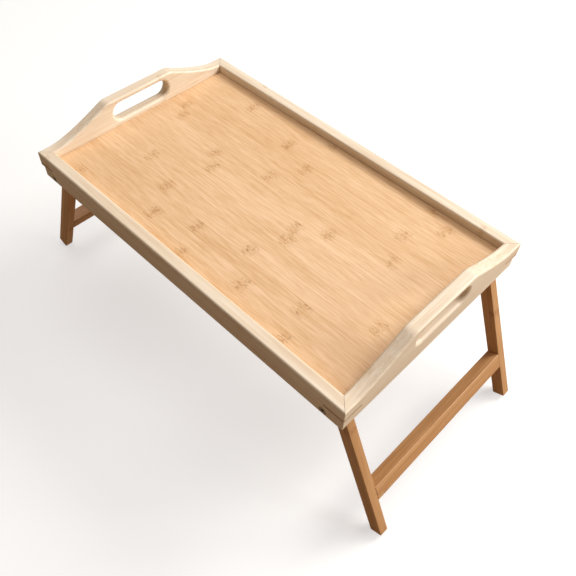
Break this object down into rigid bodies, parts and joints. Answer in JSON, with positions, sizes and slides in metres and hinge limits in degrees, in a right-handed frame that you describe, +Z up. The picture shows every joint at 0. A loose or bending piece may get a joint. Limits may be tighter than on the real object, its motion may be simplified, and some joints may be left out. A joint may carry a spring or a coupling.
{
  "type": "folding tray table",
  "caption": "Low bamboo tray table: a framed board with cut-out carrying handles at its ends, on leg pairs that fold flat under the tray.",
  "frame": {"origin": "on the floor, under the middle of the tray, with both leg pairs folded out against their stops", "axes": "+X along the tray towards its right end panel, +Y across the tray to the back rail, +Z up"},
  "size_m": [0.6394, 0.3, 0.2565],
  "materials": {
    "frame_bamboo": "pale bamboo under a satin clear lacquer",
    "board_bamboo": "warm tan bamboo strips under a satin clear lacquer",
    "leg_bamboo": "caramel bamboo under a satin clear lacquer",
    "key_bamboo": "dark glued bamboo strip",
    "dowel_bamboo": "turned, unlacquered",
    "steel_hardware": "zinc plated"
  },
  "bodies": {
    "tray": {"front_rail": "frame_bamboo", "back_rail": "frame_bamboo", "left_end_panel": "frame_bamboo", "right_end_panel": "frame_bamboo", "base_board": "board_bamboo", "corner_key_front_left": "key_bamboo", "corner_key_front_right": "key_bamboo", "corner_key_back_right": "key_bamboo", "corner_key_back_left": "key_bamboo", "pivot_bolt_front_left": "steel_hardware", "pivot_bolt_front_right": "steel_hardware", "pivot_bolt_back_right": "steel_hardware", "pivot_bolt_back_left": "steel_hardware", "outer_washer_front_left": "steel_hardware", "outer_washer_front_right": "steel_hardware", "outer_washer_back_right": "steel_hardware", "outer_washer_back_left": "steel_hardware", "inner_washer_front_left": "steel_hardware", "inner_washer_front_right": "steel_hardware", "inner_washer_back_right": "steel_hardware", "inner_washer_back_left": "steel_hardware", "lock_nut_front_left": "steel_hardware", "lock_nut_front_right": "steel_hardware", "lock_nut_back_right": "steel_hardware", "lock_nut_back_left": "steel_hardware"},
    "left_legs": {"left_leg_front": "leg_bamboo", "left_leg_back": "leg_bamboo", "left_crossbar": "leg_bamboo", "left_dowel_front_upper": "dowel_bamboo", "left_dowel_front_lower": "dowel_bamboo", "left_dowel_back_upper": "dowel_bamboo", "left_dowel_back_lower": "dowel_bamboo"},
    "right_legs": {"right_leg_front": "leg_bamboo", "right_leg_back": "leg_bamboo", "right_crossbar": "leg_bamboo", "right_dowel_front_upper": "dowel_bamboo", "right_dowel_front_lower": "dowel_bamboo", "right_dowel_back_upper": "dowel_bamboo", "right_dowel_back_lower": "dowel_bamboo"}
  },
  "joints": [
    {"name": "left_leg_fold", "type": "hinge", "parent": "tray", "child": "left_legs", "pos_m": [-0.22412, 0, 0.20151], "axis": [0, -1, 0], "range_deg": [0, 114]},
    {"name": "right_leg_fold", "type": "hinge", "parent": "tray", "child": "right_legs", "pos_m": [0.22412, 0, 0.20151], "axis": [0, 1, 0], "range_deg": [0, 114]}
  ]
}
